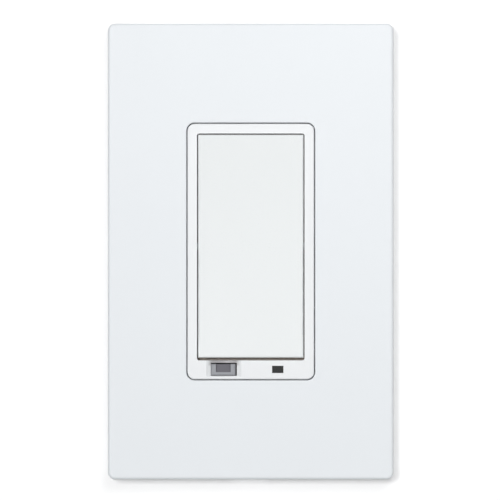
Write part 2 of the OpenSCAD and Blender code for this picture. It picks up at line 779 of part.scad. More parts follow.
// Spring-bronze bridge that the stem carries across the two fixed contacts.
module airgap_bridge() color("peru") upright() translate([tab_x + tab_dx, low_y + tab_dy, 0]) {
    block(bridge_w - 4, tab_stem_h - 1.0, bridge_z, bridge_t);
    for (s = [-1, 1]) translate([s * (bridge_w / 2 - 1), 0, 0]) {
        block(2.4, bridge_h, bridge_z, bridge_t);
        translate([0, 0, bridge_z - 0.4]) cylinder(h = 0.4 + bite, r = 0.8);
    }
}

// One of the two fixed contacts on the power board that the bridge rests on.
module fixed_contact(side) color("peru") upright()
    translate([tab_x + tab_dx + side * (bridge_w / 2 - 1), low_y + tab_dy, 0]) {
        block(2.4, bridge_h, bridge_z - 0.4 - contact_gap - contact_t, contact_t);
        translate([side * 1.6, 0, 0])
            block(contact_t, bridge_h, power_front, bridge_z - 0.4 - contact_gap - power_front);
        translate([side * 1.6, 0, 0]) block(contact_t, 1.2, power_back - 0.8, power_t + 0.8 + bite);
    }

// Smoked lens and light pipe of the indicator, seated from behind in the bezel.
module led_lens() color("dimgray") upright() translate([light_x, low_y, 0]) {
    shoulder = bezel_z - 1.5 - seat;
    block(window_w - 0.3, window_h - 0.3, bezel_z - 0.3, 0.2);
    block(window_w, window_h, shoulder - bite, bezel_z - 0.2 - shoulder + bite);
    block(4.0, 3.0, shoulder - 1.3, 1.3);
    translate([0, 0, control_front + 1.3]) cylinder(h = shoulder - control_front - 1.3 - 1.2, r = 1.2);
}

// Surface-mounted light on the control board, under the light pipe.
module status_led() color("lightyellow") upright() translate([light_x, low_y, 0]) {
    block(3.2, 2.4, control_front, 0.6);
    translate([0, 0, control_front + 0.6]) cylinder(h = 0.45, r1 = 1.1, r2 = 0.7);
}

// Thin fibre sheet that keeps the control board away from the strap.
module insulator_sheet() color("wheat") upright()
    translate([0, 0, -insulator_t]) linear_extrude(insulator_t - 0.02) difference() {
        round_rect(board_w, board_h, 1.5);
        board_corners(pillar_r + 0.3);
        for (s = [-1, 1]) {
            translate([0, paddle_y + s * switch_arm]) circle(plunger_head_r + 0.3);
            for (t = [-1, 1]) translate([s * (hook_x + hook_t / 2), t * hook_y])
                square([hook_t + 2 * hook_barb + 0.6, hook_l + 0.8], center = true);
        }
        translate([tab_x, low_y]) square([tab_flange_w + 0.8, pocket_h + 0.2], center = true);
        translate([light_x, low_y]) square([3.2, 3.2], center = true);
        translate([triac_x - 6, -10]) square([12, triac_hole_y + 14.2]);
    }

// Bites at a board's corners for the housing's pillars, open towards both edges.
module board_corners(r) {
    out = pillar_r + case_screw_end + board_gap;
    for (sx = [-1, 1], sy = [-1, 1]) translate([sx * case_screw_x, sy * case_screw_y]) {
        circle(r);
        translate([sx * (out - r) / 2, sy * out / 2]) square([out + r, out], center = true);
        translate([sx * out / 2, sy * (out - r) / 2]) square([out, out + r], center = true);
    }
}

// Control board: cut away round the triac, the tab's stem and the pillars.
module control_board() color("darkgreen") upright()
    translate([0, 0, control_back]) linear_extrude(control_t) difference() {
        round_rect(board_w, board_h, 1.0);
        board_corners(pillar_r + 0.3);
        translate([-board_w / 2 - cut, -11.5])
            square([board_w / 2 + cut + triac_x + triac_w / 2 + 1.4, board_h]);
        translate([tab_x + tab_dx, low_y + tab_dy])
            square([tab_stem_w + 1.0, tab_stem_h + 1.0], center = true);
        for (i = [-3 : 3]) translate([header_x, header_y + header_pitch * i]) square(0.8, center = true);
        translate([antenna_x, antenna_y - 1.2]) circle(0.4);
    }

// Body of a push switch on the control board, with the bore that guides its plunger.
module switch_body(side) color("black") upright() translate([0, paddle_y + side * switch_arm, 0])
    difference() {
        union() {
            block(switch_w, switch_w, control_front, switch_top - control_front - 0.5);
            translate([0, 0, switch_top - 0.5 - bite]) cylinder(h = 0.5 + bite, r = 2.7);
        }
        translate([0, 0, control_front + switch_floor])
            cylinder(h = switch_top - control_front, r = plunger_r + seat);
        for (s = [-1, 1]) translate([s * switch_w / 2, 0, 0])
            block(0.8, 1.6, control_front - cut, switch_top - control_front);
    }

// Sprung plunger of a push switch; the paddle's peg rests on its round head.
module plunger(side) color("white") upright() translate([0, paddle_y + side * switch_arm, 0]) {
    translate([0, 0, plunger_bottom])
        cylinder(h = plunger_top - plunger_head_t - plunger_bottom, r = plunger_r);
    translate([0, 0, plunger_top - plunger_head_t]) cylinder(h = plunger_head_t - 0.4, r = plunger_head_r);
    translate([0, 0, plunger_top - 0.4]) cylinder(h = 0.4, r1 = plunger_head_r, r2 = plunger_head_r - 0.4);
}

// Return spring under a plunger, inside the switch body.
module return_spring(side) color("gainsboro") upright() {
    low = control_front + switch_floor + spring_wire / 2 + 0.02;
    high = plunger_bottom - spring_wire / 2 - 0.02;
    steps = 12 * spring_turns;
    translate([0, paddle_y + side * switch_arm, 0])
        tube([for (i = [0 : steps])
            [1.3 * cos(30 * i), 1.3 * sin(30 * i), low + (high - low) * i / steps]],
            spring_wire / 2);
}

// Controller chip with its rows of leads.
module controller_chip() color("black") upright() translate([chip_x, chip_y, 0]) {
    block(7, 7, control_front + 0.15, 1.0);
    for (k = [0 : 3], i = [-3 : 3]) rotate([0, 0, 90 * k]) translate([3.9, i * 0.8, 0])
        block(1.1, 0.35, control_front, 0.5);
}

// Radio module: its own little board with a metal can on it.
module radio_module() color("silver") upright() translate([radio_x, radio_y, 0]) {
    block(radio_w, radio_h, control_front, 0.8);
    translate([0, -1, 0]) block(radio_w - 1.4, radio_h - 4, control_front + 0.8 - 0.01, 1.8);
}

// Helical antenna soldered to the control board, lying along y.
module antenna() color("gold") upright() {
    turns = 9;
    coil_r = 1.7;
    y0 = antenna_y;
    pitch = 1.5;
    x = antenna_x;
    z = control_front + coil_r + 0.75;
    steps = 12 * turns;
    coil = [for (i = [0 : steps])
        [x + coil_r * cos(30 * i - 90), y0 + pitch * i / 12, z + coil_r * sin(30 * i - 90)]];
    foot = [[x, y0 - 1.2, control_back - 0.6], [x, y0 - 1.2, z - coil_r - 0.4], [x, y0 - 0.8, z - coil_r]];
    tube(concat(foot, coil), 0.3);
}

// Pin header that joins the two boards.
module board_connector() color("black") upright() translate([header_x, header_y, 0]) {
    block(2.4, header_l, power_front, 4.2);
    for (i = [-3 : 3]) translate([0, header_pitch * i, 0])
        block(0.6, 0.6, power_back - 0.8, control_front + 0.8 - power_back + 0.8);
}

// Power board behind the control board, slotted for the terminals.
module power_board() color("darkgreen") upright()
    translate([0, 0, power_back]) linear_extrude(power_t) difference() {
        round_rect(board_w, board_h, 1.0);
        board_corners(pillar_r + 0.3);
        for (sx = [-1, 1], sy = [-1, 1])
            translate([sx * (recess_x + brass_t / 2), sy * terminal_y])
                square([brass_t + 0.3, 3.6], center = true);
        for (s = [-1, 1]) translate([tab_x + tab_dx + s * (bridge_w / 2 + 0.6), low_y + tab_dy])
            square([contact_t + 0.2, 1.4], center = true);
        for (i = [-3 : 3]) translate([header_x, header_y + header_pitch * i]) square(0.8, center = true);
    }

// Triac: tab against the strap, moulded body, three legs bent back to the power board.
module triac() color("black") upright() translate([triac_x, triac_hole_y, 0]) {
    top = -pad_t;
    difference() {
        translate([0, -5.6, 0]) block(triac_w, 17.0, top - triac_tab_t, triac_tab_t);
        translate([0, 0, top - triac_tab_t - cut]) cylinder(h = triac_tab_t + 2 * cut, r = 1.6);
    }
    translate([0, -9.4, 0]) block(triac_w, 9.2, top - 4.4, 4.4 - 0.01);
    for (x = [-2.54, 0, 2.54]) translate([x, 0, 0]) {
        translate([0, -16, 0]) block(0.8, 4.5, top - 2.9, 0.6);
        translate([0, -17.95, 0]) block(0.8, 0.6, power_front + 0.02, top - 2.34 - power_front);
    }
}

// Screw that clamps the triac's tab to the strap, driven from behind.
module triac_screw() color("silver") upright()
    translate([triac_x, triac_hole_y, -pad_t - triac_tab_t - 0.02]) rotate([180, 0, 0])
        pan_screw(2.6, 1.9, 1.5, strap_t + pad_t + triac_tab_t - 0.1);

// Soft pad between the triac and the strap.
module thermal_pad() color("lightgray") upright() translate([triac_x, triac_hole_y, 0]) difference() {
    translate([0, -5.6, 0]) block(triac_w + 0.6, 17.6, -pad_t + 0.01, pad_t - 0.02);
    translate([0, 0, -pad_t - cut]) cylinder(h = pad_t + 2 * cut, r = 1.7);
}

// Ferrite ring of the choke.
module choke_core() color("dimgray") upright() translate([0, choke_y, choke_z - choke_h / 2])
    rotate_extrude() translate([(choke_r + choke_hole_r) / 2, choke_h / 2])
        round_rect(choke_r - choke_hole_r, choke_h, 0.8);

// One continuous winding round the ferrite ring, with two tails to the power board. Each
// turn is a rectangle round the ring's section with its four corners cut off.
function winding_point(i) =
    let (
        w = winding_half_w,
        h = winding_half_h,
        c = winding_bevel,
        turn = [
            [w, h - c], [w - c, h], [c - w, h], [-w, h - c],
            [-w, c - h], [c - w, -h], [w - c, -h], [w, c - h]
        ],
        p = turn[i % len(turn)],
        r = (choke_r + choke_hole_r) / 2 + p.x,
        around = winding_arc * i / (len(turn) * choke_turns) - 65
    )
    [r * cos(around), r * sin(around), p.y];
module choke_winding() color("chocolate") upright() {
    coil = [for (i = [0 : 8 * choke_turns]) winding_point(i)];
    first = coil[0];
    last = coil[len(coil) - 1];
    foot = power_back - choke_z - 0.02;
    bend = winding_half_h + 0.4;
    translate([0, choke_y, choke_z]) tube(
        concat(
            [[first.x + 0.8, first.y - 0.8, foot], [first.x + 0.8, first.y - 0.8, bend]],
            coil,
            [[last.x - 0.8, last.y - 0.8, bend], [last.x - 0.8, last.y - 0.8, foot]]
        ),
        choke_wire_r
    );
}

// Boxed film capacitor with moulded corners.
module film_capacitor() color("goldenrod") upright() translate([film_x, film_y, 0]) {
    slab(film_w, film_l, 0.8, power_back - 12.4, 12.0);
    for (s = [-1, 1]) translate([0, s * (film_l / 2 - 1.5), 0]) block(2.4, 2.0, power_back - 0.6, 0.58);
}

// Electrolytic capacitor: sleeved can with its rolled groove and vented top.
module electrolytic_capacitor() color("midnightblue") upright() translate([can_x, can_y, 0])
    rotate_extrude() difference() {
        union() {
            square_between(0, can_r, power_back - 11.6, power_back - 0.02);
            square_between(0, can_r - 0.4, power_back - 12, power_back - 11.6 + bite);
        }
        translate([can_r + 0.25, power_back - 1.9]) circle(0.5);
        square_between(-cut, can_r - 1, power_back - 12 - cut, power_back - 11.8);
    }

// Disc varistor standing on its two legs.
module varistor() color("royalblue") upright()
    translate([varistor_x, varistor_y, power_back - varistor_r - 2.2]) {
        rotate([90, 0, 0]) translate([0, 0, -1.6]) rotate_extrude() round_disc(varistor_r, 3.2);
        for (x = [-2.5, 2.5]) translate([x, 0, varistor_r - 1.2]) cylinder(h = 3.38, r = 0.4);
    }

// Half of a disc's section with rounded rims.
module round_disc(r, t) {
    square_between(0, r - t / 2, 0, t);
    intersection() {
        translate([r - t / 2, t / 2]) circle(t / 2);
        square_between(0, r, 0, t);
    }
}

// Axial fuse with end caps.
module fuse() color("tan") upright() translate([fuse_x, fuse_y, power_back - 1.9]) rotate([0, 90, 0]) {
    translate([0, 0, -3.6]) cylinder(h = 7.2, r = 1.3);
    for (s = [-1, 1]) translate([0, 0, s * 4.1 - 0.6]) {
        cylinder(h = 1.2, r = 1.5);
        translate([-1.88, 0, 0.6]) rotate([0, 90, 0]) cylinder(h = 1.9, r = 0.35);
    }
}

// Bridge rectifier on the front of the power board.
module bridge_rectifier() color("black") upright() translate([bridge_x, bridge_y, 0]) {
    block(8, 6.4, power_front + 0.3, 2.6);
    for (x = [-2.6, 2.6], s = [-1, 1]) translate([x, s * 3.7, 0]) block(1.2, 1.4, power_front, 0.9);
}

// Rear housing: a box open at both ends, with a pillar for each case screw and an open
// recess for each terminal.
module housing() color("whitesmoke") upright() {
    inner_w = case_w - 2 * case_wall;
    inner_h = case_h - 2 * case_wall;
    difference() {
        union() {
            difference() {
                slab(case_w, case_h, case_corner_r, -case_depth, case_depth);
                slab(inner_w, inner_h, case_corner_r - case_wall, -case_depth - cut, case_depth + 2 * cut);
            }
            for (sx = [-1, 1], sy = [-1, 1]) {
                translate([sx * case_screw_x, sy * case_screw_y, -case_depth])
                    cylinder(h = case_depth - 0.02, r = pillar_r);
                translate([sx * (case_w / 2 - (recess_d + pocket_wall) / 2 - bite), sy * terminal_y, 0])
                    block(
                        recess_d + pocket_wall, recess_w + 2 * pocket_wall,
                        -case_depth, recess_l + pocket_wall
                    );
            }
        }
        for (sx = [-1, 1], sy = [-1, 1]) {
            translate([sx * case_screw_x, sy * case_screw_y, -case_depth - cut])
                cylinder(h = case_depth + 2 * cut, r = case_screw_r + 0.15);
            translate([sx * (recess_x + recess_d / 2 + cut), sy * terminal_y, 0])
                block(recess_d + 2 * cut, recess_w, -case_depth - cut, recess_l + cut);
            translate([sx * (recess_x + brass_t / 2), sy * terminal_y, 0])
                block(brass_t + 0.2, 3.6, recess_z - cut, pocket_wall + 2 * cut);
            translate([sx * (recess_x - pocket_wall - cut), sy * terminal_y, terminal_z])
                rotate([0, sx * 90, 0]) cylinder(h = pocket_wall + 2 * cut, r = terminal_screw_r + 0.3);
        }
    }
}

// Back cover with a rounded rim, counterbores, wire holes and two locating tongues.
module back_cover() color("whitesmoke") upright() {
    r = case_corner_r;
    tongue_y = case_h / 2 - case_wall - 0.9;
    difference() {
        union() {
            rotate([180, 0, 0]) translate([0, 0, case_depth + 0.02]) {
                swept_ring(case_w, case_h, r) rounded_wall(0, r, 0, cover_t, 0.9);
                block(case_w - 2 * r, case_h - 2 * r, 0, cover_t);
            }
            for (s = [-1, 1]) translate([0, s * tongue_y, 0])
                block(case_w / 2, 1.4, -case_depth - bite, 1.8 + bite);
        }
        for (sx = [-1, 1], sy = [-1, 1]) {
            translate([sx * case_screw_x, sy * case_screw_y, -case_depth - cover_t - cut]) {
                cylinder(h = cover_t + 2 * cut, r = case_screw_r + 0.15);
                cylinder(h = cut + 1.1, r = 2.7);
            }
            translate([sx * wire_x, sy * (terminal_y + wire_dy), -case_depth - cover_t - cut])
                cylinder(h = cover_t + 2 * cut, r = wire_hole_r);
        }
    }
}

// Long screw that holds cover, housing and strap together.
module case_screw(sx, sy) color("silver") upright()
    translate([sx * case_screw_x, sy * case_screw_y, -case_depth - cover_t + 1.08]) rotate([180, 0, 0])
        pan_screw(2.5, 1.5, case_screw_r, case_depth + cover_t - 1.08 + strap_t - 0.1, slot = 0.7);

// Brass terminal plate with a leg that goes through the power board.
module terminal(sx, sy) color("gold") upright() translate([sx * (recess_x + brass_t / 2), sy * terminal_y, 0])
    difference() {
        union() {
            block(brass_t - 0.04, 8.8, recess_z - 9.6, 9.5);
            block(brass_t - 0.04, 3.2, recess_z - 0.2, power_front - recess_z + 0.8);
        }
        translate([-brass_t, 0, terminal_z]) rotate([0, 90, 0])
            cylinder(h = 2 * brass_t, r = terminal_screw_r + seat);
    }

// Steel clamp plate under a terminal screw's head, with turned-in edges.
module clamp(sx, sy) color("silver") upright() translate([sx * clamp_x, sy * terminal_y, terminal_z])
    rotate([0, sx * 90, 0]) difference() {
        union() {
            block(7.8, 8.2, 0.02, clamp_t - 0.04);
            for (s = [-1, 1]) translate([s * 3.5, 0, 0]) block(0.8, 8.2, -0.4, 0.6);
        }
        translate([0, 0, -cut]) cylinder(h = clamp_t + 2 * cut, r = terminal_screw_r + 0.1);
    }

// Binding screw of a terminal, backed out so that the clamp stands open.
module terminal_screw(sx, sy, tint) color(tint) upright()
    translate([sx * head_x, sy * terminal_y, terminal_z]) rotate([0, sx * 90, 0])
        pan_screw(3.6, 2.2, terminal_screw_r, 6.6, slot = 1.0);

wall_plate();
sub_plate();
plate_screw(1);  // plate_screw_upper
plate_screw(-1);  // plate_screw_lower
strap();
mounting_screw(1);  // mounting_screw_upper
mounting_screw(-1);  // mounting_screw_lower
screw_retainer(1);  // screw_retainer_upper
screw_retainer(-1);  // screw_retainer_lower
ground_screw();
bezel();
paddle();
airgap_tab();
airgap_bridge();
fixed_contact(-1);  // line_contact
fixed_contact(1);  // feed_contact
led_lens();
status_led();
insulator_sheet();
control_board();
switch_body(1);  // upper_switch_body
switch_body(-1);  // lower_switch_body
plunger(1);  // upper_plunger
plunger(-1);  // lower_plunger
return_spring(1);  // upper_spring
return_spring(-1);  // lower_spring
controller_chip();
radio_module();
antenna();
board_connector();
power_board();
triac();
triac_screw();
thermal_pad();
choke_core();
choke_winding();
film_capacitor();
electrolytic_capacitor();
varistor();
fuse();
bridge_rectifier();
housing();
back_cover();
case_screw(-1, 1);  // case_screw_1
case_screw(1, 1);  // case_screw_2
case_screw(-1, -1);  // case_screw_3
case_screw(1, -1);  // case_screw_4
terminal(1, 1);  // line_terminal
terminal(1, -1);  // load_terminal
terminal(-1, 1);  // neutral_terminal
terminal(-1, -1);  // traveler_terminal
clamp(1, 1);  // line_clamp
clamp(1, -1);  // load_clamp
clamp(-1, 1);  // neutral_clamp
clamp(-1, -1);  // traveler_clamp
terminal_screw(1, 1, "dimgray");  // line_screw
terminal_screw(1, -1, "gold");  // load_screw
terminal_screw(-1, 1, "silver");  // neutral_screw
terminal_screw(-1, -1, "gold");  // traveler_screw
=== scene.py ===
import bpy
import bmesh
from math import radians, pi
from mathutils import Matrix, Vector


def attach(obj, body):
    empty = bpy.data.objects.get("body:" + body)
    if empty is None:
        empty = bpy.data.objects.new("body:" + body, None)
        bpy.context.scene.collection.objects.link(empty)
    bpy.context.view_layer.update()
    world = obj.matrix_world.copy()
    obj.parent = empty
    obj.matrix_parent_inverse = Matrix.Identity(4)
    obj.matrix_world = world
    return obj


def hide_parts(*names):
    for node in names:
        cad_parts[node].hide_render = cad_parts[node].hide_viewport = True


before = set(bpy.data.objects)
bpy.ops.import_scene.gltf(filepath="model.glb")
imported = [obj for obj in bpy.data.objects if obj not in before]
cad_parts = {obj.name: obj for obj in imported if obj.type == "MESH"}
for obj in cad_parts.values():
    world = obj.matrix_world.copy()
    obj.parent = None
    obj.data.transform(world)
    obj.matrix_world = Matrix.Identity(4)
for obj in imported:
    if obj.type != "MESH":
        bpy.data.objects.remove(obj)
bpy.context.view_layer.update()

# Camera: straight on to the switch from far off, with the whole cover plate in the
# square picture, as the photograph has it. One picture is 130 mm wide at the plate.
picture_w = 0.1302
camera_far = 1.6
eye = bpy.data.objects.new("camera", bpy.data.cameras.new("camera"))
bpy.context.collection.objects.link(eye)
eye.location = (-0.0002, -camera_far, 0.0004)
eye.rotation_euler = (radians(90), 0, 0)
eye.data.sensor_width = 36
eye.data.lens = 36 * (camera_far - 0.007) / picture_w
eye.data.clip_start = 0.05
eye.data.clip_end = 20
bpy.context.scene.camera = eye
bpy.context.scene.view_settings.view_transform = "Standard"

# Light: a white room that is dimmer at its sides, a window high on the left that lays the
# plate's shadow to the right and below it, and a nearer lamp that lifts the upper right corner.
room = bpy.data.worlds.new("room")
bpy.context.scene.world = room
room.use_nodes = True
tree = room.node_tree
tree.nodes.clear()
seen = tree.nodes.new("ShaderNodeLightPath")
either = tree.nodes.new("ShaderNodeMath")
either.operation = "MAXIMUM"
shown = tree.nodes.new("ShaderNodeMath")
shown.operation = "MAXIMUM"
tree.links.new(seen.outputs["Is Camera Ray"], either.inputs[0])
tree.links.new(seen.outputs["Is Glossy Ray"], either.inputs[1])
tree.links.new(either.outputs[0], shown.inputs[0])
tree.links.new(seen.outputs["Is Transmission Ray"], shown.inputs[1])
dim_room = tree.nodes.new("ShaderNodeBackground")
dim_room.inputs["Color"].default_value = (0.97, 0.985, 1, 1)
heading = tree.nodes.new("ShaderNodeSeparateXYZ")
tree.links.new(tree.nodes.new("ShaderNodeTexCoord").outputs["Generated"], heading.inputs[0])
ahead = tree.nodes.new("ShaderNodeMath")
ahead.operation = "ABSOLUTE"
tree.links.new(heading.outputs["Y"], ahead.inputs[0])
room_level = tree.nodes.new("ShaderNodeMath")
room_level.operation = "MULTIPLY_ADD"
room_level.inputs[1].default_value = 0.25
room_level.inputs[2].default_value = 0.09
tree.links.new(ahead.outputs[0], room_level.inputs[0])
tree.links.new(room_level.outputs[0], dim_room.inputs["Strength"])
white_room = tree.nodes.new("ShaderNodeBackground")
white_room.inputs["Strength"].default_value = 1.0
room_mix = tree.nodes.new("ShaderNodeMixShader")
tree.links.new(shown.outputs[0], room_mix.inputs[0])
tree.links.new(dim_room.outputs[0], room_mix.inputs[1])
tree.links.new(white_room.outputs[0], room_mix.inputs[2])
tree.links.new(room_mix.outputs[0], tree.nodes.new("ShaderNodeOutputWorld").inputs["Surface"])


def hang_lamp(name, kind, place, strength, size):
    """A lamp that looks at the middle of the switch."""
    lamp = bpy.data.objects.new(name, bpy.data.lights.new(name, kind))
    bpy.context.collection.objects.link(lamp)
    lamp.location = place
    lamp.rotation_euler = (-Vector(place)).to_track_quat("-Z", "Y").to_euler()
    lamp.data.energy = strength
    if kind == "SUN":
        lamp.data.angle = size
    else:
        lamp.data.shape = "SQUARE"
        lamp.data.size = size
    return lamp


hang_lamp("window_lamp", "SUN", place=(-0.25, -1, 0.15), strength=1.36, size=radians(13))
hang_lamp("desk_lamp", "AREA", place=(0.10, -0.38, 0.17), strength=0.55, size=0.2)
hang_lamp("back_lamp", "SUN", place=(-0.3, 0.9, 0.5), strength=2.2, size=radians(25))

# Wall and floor: the painted wall that the plate lies against, open where the box
# would be and clear from behind, and a pale floor below. Neither belongs to the switch.
bpy.ops.object.select_all(action="DESELECT")
bpy.ops.mesh.primitive_plane_add(size=1, location=(0, 0.0004, 0), rotation=(radians(90), 0, 0))
wall = bpy.context.object
wall.name = "wall"
half_hole_w = 0.0364
half_hole_h = 0.0584
bpy.ops.object.transform_apply(location=True, rotation=True, scale=True)
bpy.ops.object.mode_set(mode="EDIT")
bpy.ops.mesh.select_all(action="SELECT")
bpy.ops.mesh.inset(thickness=0.41)
shaped = bmesh.from_edit_mesh(wall.data)
for v in shaped.verts:
    if v.select:
        v.co.x = half_hole_w if v.co.x > 0 else -half_hole_w
        v.co.z = half_hole_h if v.co.z > 0 else -half_hole_h
bmesh.update_edit_mesh(wall.data)
bpy.ops.mesh.delete(type="FACE")
bpy.ops.object.mode_set(mode="OBJECT")

bpy.ops.object.select_all(action="DESELECT")
bpy.ops.mesh.primitive_plane_add(size=6, location=(0, 0, -0.16))
floor = bpy.context.object
floor.name = "floor"


def white_ground(name, grey, bounce, lift, one_sided):
    """White paint that keeps shadows; what looks straight at it sees its lit part as white."""
    m = bpy.data.materials.new(name)
    m.use_nodes = True
    t = m.node_tree
    t.nodes.clear()
    seen = t.nodes.new("ShaderNodeLightPath")
    either = t.nodes.new("ShaderNodeMath")
    either.operation = "MAXIMUM"
    t.links.new(seen.outputs["Is Camera Ray"], either.inputs[0])
    t.links.new(seen.outputs["Is Glossy Ray"], either.inputs[1])
    shown = t.nodes.new("ShaderNodeMath")
    shown.operation = "MAXIMUM"
    t.links.new(either.outputs[0], shown.inputs[0])
    t.links.new(seen.outputs["Is Transmission Ray"], shown.inputs[1])
    tone = t.nodes.new("ShaderNodeMath")
    tone.operation = "MULTIPLY_ADD"
    tone.inputs[1].default_value = grey - bounce
    tone.inputs[2].default_value = bounce
    t.links.new(shown.outputs[0], tone.inputs[0])
    paint = t.nodes.new("ShaderNodeBsdfDiffuse")
    t.links.new(tone.outputs[0], paint.inputs["Color"])
    glow = t.nodes.new("ShaderNodeEmission")
    lifted = t.nodes.new("ShaderNodeMath")
    lifted.operation = "MULTIPLY"
    lifted.inputs[1].default_value = lift
    t.links.new(shown.outputs[0], lifted.inputs[0])
    t.links.new(lifted.outputs[0], glow.inputs["Strength"])
    both = t.nodes.new("ShaderNodeAddShader")
    t.links.new(paint.outputs[0], both.inputs[0])
    t.links.new(glow.outputs[0], both.inputs[1])
    out = t.nodes.new("ShaderNodeOutputMaterial")
    if one_sided:
        side = t.nodes.new("ShaderNodeNewGeometry")
        clear = t.nodes.new("ShaderNodeBsdfTransparent")
        mix = t.nodes.new("ShaderNodeMixShader")
        t.links.new(side.outputs["Backfacing"], mix.inputs[0])
        t.links.new(both.outputs[0], mix.inputs[1])
        t.links.new(clear.outputs[0], mix.inputs[2])
        t.links.new(mix.outputs[0], out.inputs["Surface"])
    else:
        t.links.new(both.outputs[0], out.inputs["Surface"])
    return m


wall.data.materials.append(white_ground("wall_paint", grey=0.86, bounce=0.62, lift=0.31,
                                        one_sided=True))
floor.data.materials.append(white_ground("floor_paint", grey=0.82, bounce=0.55, lift=0.42,
                                         one_sided=False))


# Rear housing and back cover: matt off-white thermoplastic, moulded in a sparked tool,
# so the skin is finely grained and a little cloudy. The cover is screwed on from behind.
def new_group(name, inputs, outputs):
    """An empty shader group with named sockets; returns it with its input and output nodes."""
    g = bpy.data.node_groups.new(name, "ShaderNodeTree")
    for label, kind, value in inputs:
        s = g.interface.new_socket(label, in_out="INPUT", socket_type="NodeSocket" + kind)
        if value is not None:
            s.default_value = value
    for label, kind in outputs:
        g.interface.new_socket(label, in_out="OUTPUT", socket_type="NodeSocket" + kind)
    return g, g.nodes.new("NodeGroupInput"), g.nodes.new("NodeGroupOutput")


def noise(t, place, scale, detail=3.0, rough=0.5):
    """A noise pattern read at a place, 0 to 1."""
    n = t.nodes.new("ShaderNodeTexNoise")
    n.inputs["Scale"].default_value = scale
    n.inputs["Detail"].default_value = detail
    n.inputs["Roughness"].default_value = rough
    t.links.new(place, n.inputs["Vector"])
    return n.outputs["Fac"]


def sum_up(t, operation, a, b, c=None):
    """One Math node; each value is a socket or a number."""
    n = t.nodes.new("ShaderNodeMath")
    n.operation = operation
    for i, value in enumerate((a, b, c)):
        if value is None:
            continue
        if hasattr(value, "default_value"):
            t.links.new(value, n.inputs[i])
        else:
            n.inputs[i].default_value = value
    return n.outputs[0]


def tint(t, colour, factor):
    """A colour made lighter or darker by a changing factor."""
    n = t.nodes.new("ShaderNodeVectorMath")
    n.operation = "SCALE"
    t.links.new(colour, n.inputs[0])
    t.links.new(factor, n.inputs["Scale"])
    return n.outputs[0]


moulded_skin, given, made = new_group(
    "moulded_skin",
    [("Place", "Vector", None), ("Colour", "Color", (0.8, 0.8, 0.8, 1)), ("Cloud", "Float", 0.02),
     ("Gloss", "Float", 0.4), ("Grain", "Float", 0.00001)],
    [("Colour", "Color"), ("Roughness", "Float"), ("Height", "Float")])
flow = noise(moulded_skin, given.outputs["Place"], scale=38, detail=2)
speck = noise(moulded_skin, given.outputs["Place"], scale=1900, detail=3, rough=0.6)
spark = noise(moulded_skin, given.outputs["Place"], scale=3600, detail=2, rough=0.7)
cloudy = sum_up(moulded_skin, "SUBTRACT", flow, 0.5)
shade = sum_up(moulded_skin, "MULTIPLY_ADD", cloudy, given.outputs["Cloud"], 1.0)
specked = sum_up(moulded_skin, "SUBTRACT", speck, 0.5)
shade = sum_up(moulded_skin, "MULTIPLY_ADD", specked, 0.012, shade)
moulded_skin.links.new(tint(moulded_skin, given.outputs["Colour"], shade), made.inputs["Colour"])
sparked = sum_up(moulded_skin, "SUBTRACT", spark, 0.5)
dull = sum_up(moulded_skin, "MULTIPLY_ADD", sparked, 0.16, given.outputs["Gloss"])
moulded_skin.links.new(dull, made.inputs["Roughness"])
pits = sum_up(moulded_skin, "ADD", spark, sum_up(moulded_skin, "MULTIPLY", speck, 0.8))
moulded_skin.links.new(sum_up(moulded_skin, "MULTIPLY", pits, given.outputs["Grain"]), made.inputs["Height"])


def finish_from(name, group, settings, metallic=0.0, coat=0.0, stretch=None, **sockets):
    """A material whose colour, gloss and height come from one of the shared groups."""
    m = bpy.data.materials.new(name)
    m.use_nodes = True
    t = m.node_tree
    shader = t.nodes["Principled BSDF"]
    shader.inputs["Metallic"].default_value = metallic
    shader.inputs["Coat Weight"].default_value = coat
    for label, value in sockets.items():
        shader.inputs[label.replace("_", " ")].default_value = value
    g = t.nodes.new("ShaderNodeGroup")
    g.node_tree = group
    for label, value in settings.items():
        g.inputs[label].default_value = value
    place = t.nodes.new("ShaderNodeTexCoord").outputs["Object"]
    if stretch:
        turn = t.nodes.new("ShaderNodeMapping")
        turn.inputs["Scale"].default_value = stretch
        t.links.new(place, turn.inputs["Vector"])
        place = turn.outputs[0]
    t.links.new(place, g.inputs["Place"])
    t.links.new(g.outputs["Colour"], shader.inputs["Base Color"])
    t.links.new(g.outputs["Roughness"], shader.inputs["Roughness"])
    bump = t.nodes.new("ShaderNodeBump")
    bump.inputs["Strength"].default_value = 1.0
    bump.inputs["Distance"].default_value = 1.0
    t.links.new(g.outputs["Height"], bump.inputs["Height"])
    t.links.new(bump.outputs[0], shader.inputs["Normal"])
    return m


def plastic(name, colour, gloss=0.4, cloud=0.02, grain=0.00001, **more):
    settings = {"Colour": (*colour, 1), "Gloss": gloss, "Cloud": cloud, "Grain": grain}
    return finish_from(name, moulded_skin, settings, **more)


def dress(material, *nodes):
    """Gives CAD nodes their finish."""
    for n in nodes:
        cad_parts[n].data.materials.clear()
        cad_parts[n].data.materials.append(material)


dress(plastic("housing_plastic", (0.70, 0.71, 0.70), gloss=0.52, cloud=0.05, grain=0.000022), "housing")
dress(plastic("cover_plastic", (0.72, 0.73, 0.72), gloss=0.50, cloud=0.05, grain=0.000020), "back_cover")


